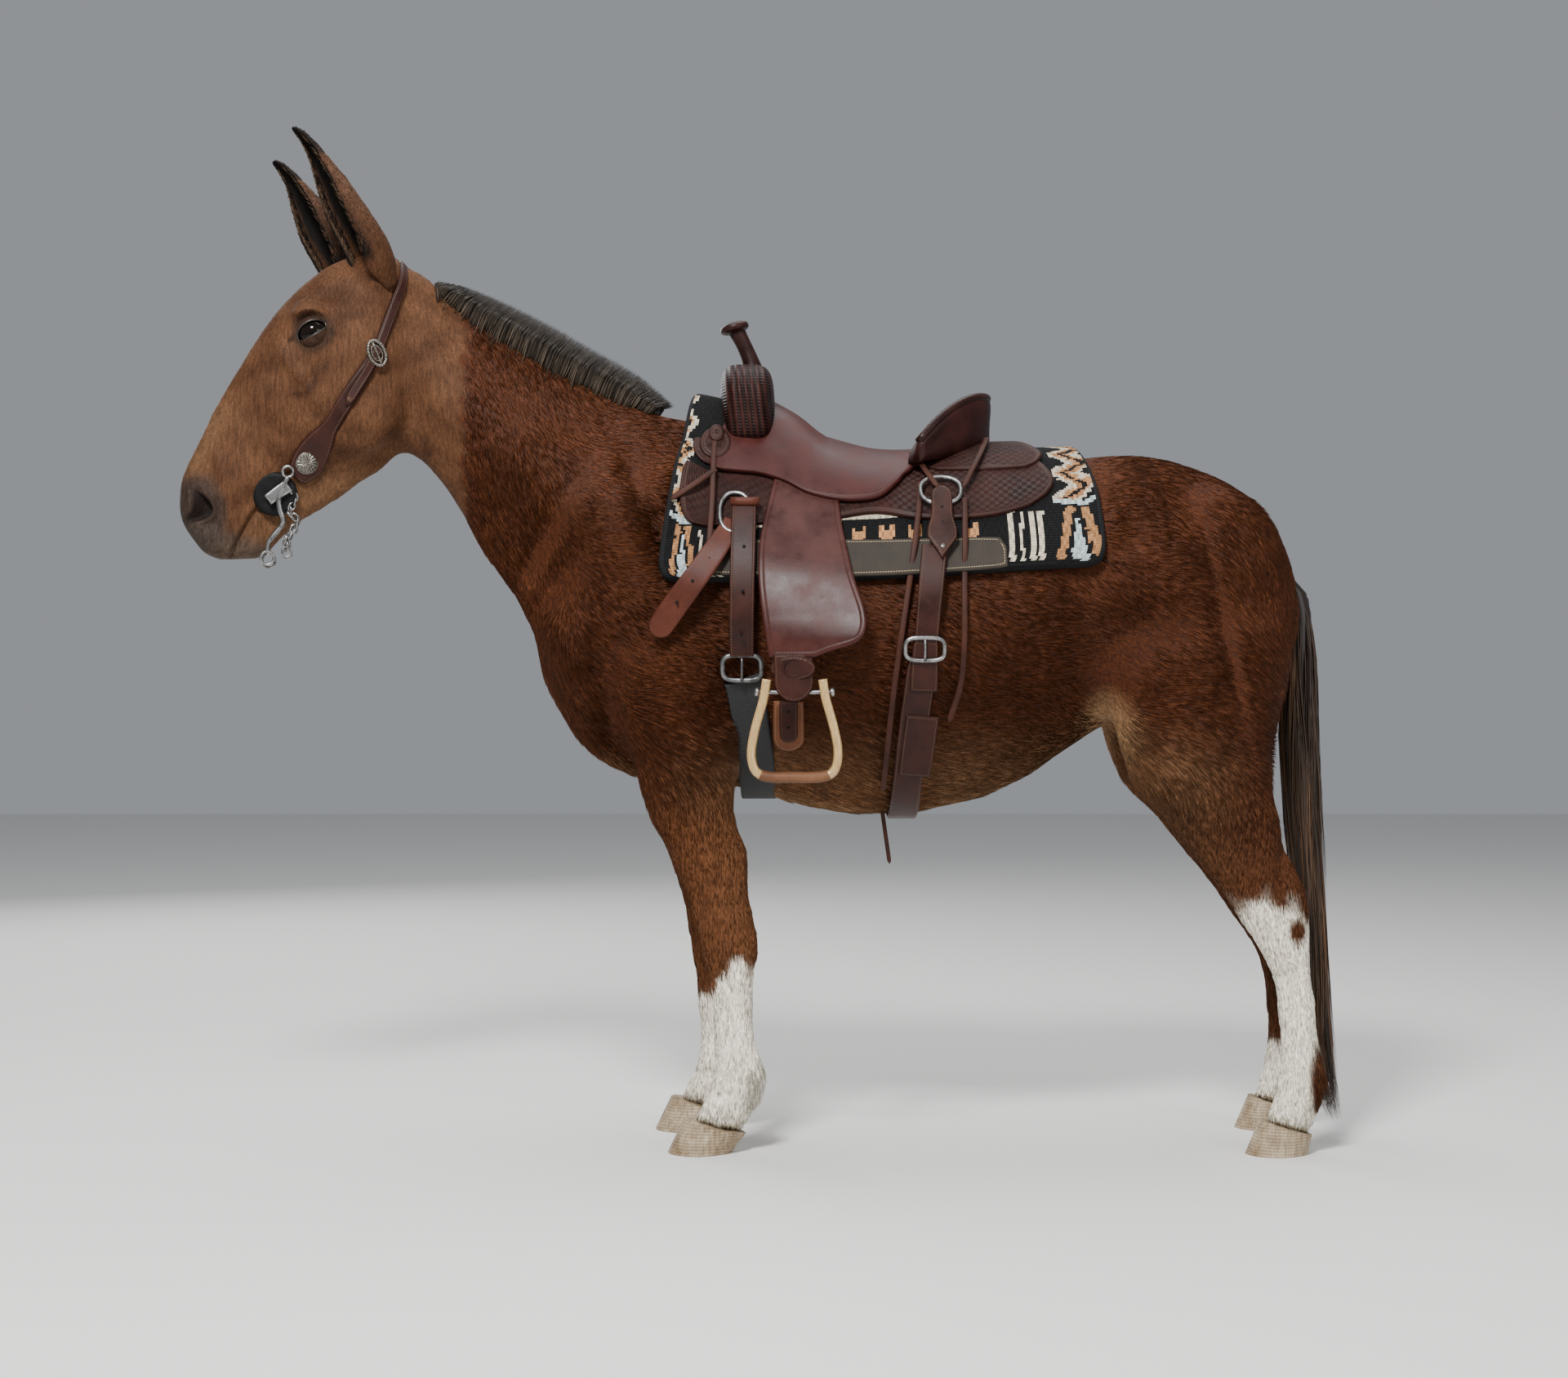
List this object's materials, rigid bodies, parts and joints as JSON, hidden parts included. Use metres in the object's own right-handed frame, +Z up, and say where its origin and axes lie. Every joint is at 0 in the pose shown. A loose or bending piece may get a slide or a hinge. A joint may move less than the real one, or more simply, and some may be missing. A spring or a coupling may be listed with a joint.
{
  "type": "saddled mule",
  "caption": "Life-size still model of a brown mule standing at rest, with a roping saddle on a woven pad, stirrups, cinches, headstall and bit.",
  "frame": {"origin": "on the floor below the middle of the animal", "axes": "+X towards the tail, +Y towards the animal's right side, +Z up"},
  "size_m": [2.2456, 0.6729, 1.9595],
  "materials": {
    "coat": "short reddish-brown winter coat",
    "horn": "pale tan hoof horn",
    "eye": "wet and very dark",
    "hair": "coarse dark mane and tail hair",
    "wool": "woven wool with a stepped pattern",
    "dark_leather": "dark brown, tooled",
    "red_leather": "smooth red-brown, half gloss",
    "black_webbing": "black neoprene and webbing",
    "pale_wood": "pale laminated wood, varnished",
    "steel": "bright steel",
    "rubber": "matt black"
  },
  "bodies": {
    "root": {"torso": "coat", "neck": "coat", "head": "coat", "foreleg_left": "coat", "foreleg_right": "coat", "hindleg_left": "coat", "hindleg_right": "coat", "ear_left": "coat", "ear_right": "coat", "fore_hoof_left": "horn", "fore_hoof_right": "horn", "hind_hoof_left": "horn", "hind_hoof_right": "horn", "eye_left": "eye", "eye_right": "eye", "mane": "hair", "tail": "hair", "blanket": "wool", "saddle_skirt": "dark_leather", "swell": "dark_leather", "cantle": "dark_leather", "rear_jockey": "dark_leather", "horn": "dark_leather", "headstall_crown": "dark_leather", "headstall_cheek_left": "dark_leather", "headstall_cheek_right": "dark_leather", "hobble_left": "dark_leather", "hobble_right": "dark_leather", "latigo_left": "dark_leather", "latigo_right": "dark_leather", "rear_billet_left": "dark_leather", "rear_billet_right": "dark_leather", "rear_cinch_left": "dark_leather", "rear_cinch_right": "dark_leather", "rear_cinch_lower": "dark_leather", "seat": "red_leather", "fender_left": "red_leather", "fender_right": "red_leather", "off_billet_left": "red_leather", "off_billet_right": "red_leather", "front_cinch_left": "black_webbing", "front_cinch_right": "black_webbing", "front_cinch_lower": "black_webbing", "stirrup_left": "pale_wood", "stirrup_right": "pale_wood", "front_ring_left": "steel", "front_ring_right": "steel", "rear_ring_left": "steel", "rear_ring_right": "steel", "cinch_buckle_left": "steel", "cinch_buckle_right": "steel", "rear_buckle_left": "steel", "rear_buckle_right": "steel", "bit_shank_left": "steel", "bit_shank_right": "steel", "bit_guard_left": "rubber", "bit_guard_right": "rubber"}
  },
  "joints": []
}
